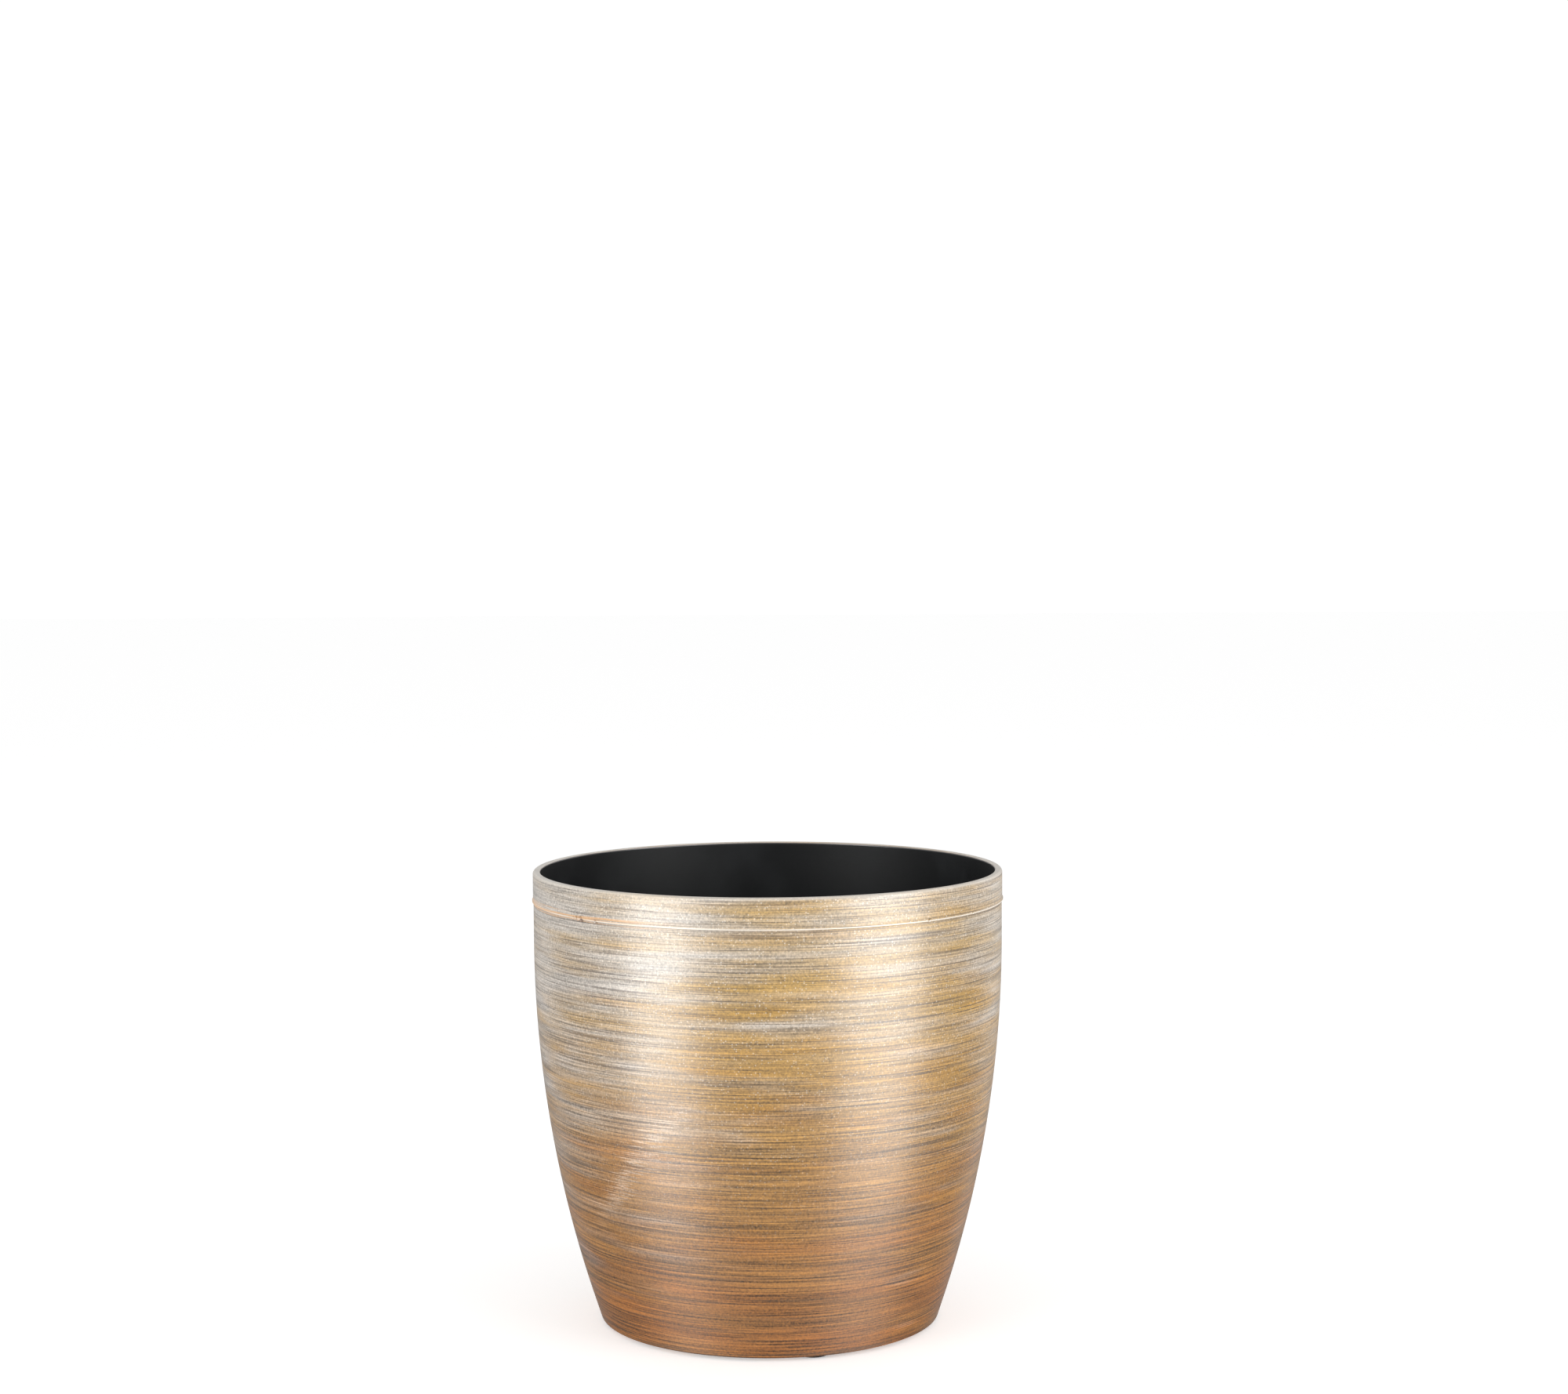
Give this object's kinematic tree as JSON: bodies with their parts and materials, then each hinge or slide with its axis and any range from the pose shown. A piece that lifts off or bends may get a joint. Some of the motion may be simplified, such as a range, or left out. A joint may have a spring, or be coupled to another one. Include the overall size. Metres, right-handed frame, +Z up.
{
  "type": "planter pot",
  "caption": "Tapered round cover pot with a plain rim band, four foot pads and a lift-out grow pot with drain holes inside.",
  "frame": {"origin": "on the pot's own axis, on the surface that it stands on, so z = 0 is the undersides of the foot pads", "axes": "+Z up the pot's axis; the pot is round, so +X and +Y are free apart from the foot pads, which stand 16 degrees round from them, and -Y is the side that the picture sees"},
  "size_m": [0.1404, 0.1404, 0.1353],
  "materials": {
    "brushed_lacquer": "black polypropylene with a hand-brushed gold, copper and silver metallic lacquer on the outside and over the lip; the inside stays satin black",
    "black_plastic": "thin satin black polypropylene",
    "pad_rubber": "matt black"
  },
  "bodies": {
    "cover_pot": {"cover_pot": "brushed_lacquer", "foot_pad_1": "pad_rubber", "foot_pad_2": "pad_rubber", "foot_pad_3": "pad_rubber", "foot_pad_4": "pad_rubber"},
    "grow_pot": {"grow_pot": "black_plastic"}
  },
  "joints": [
    {"name": "grow_pot_lift", "type": "slide", "parent": "cover_pot", "child": "grow_pot", "axis": [0, 0, 1], "range_m": [0, 0.14]}
  ]
}
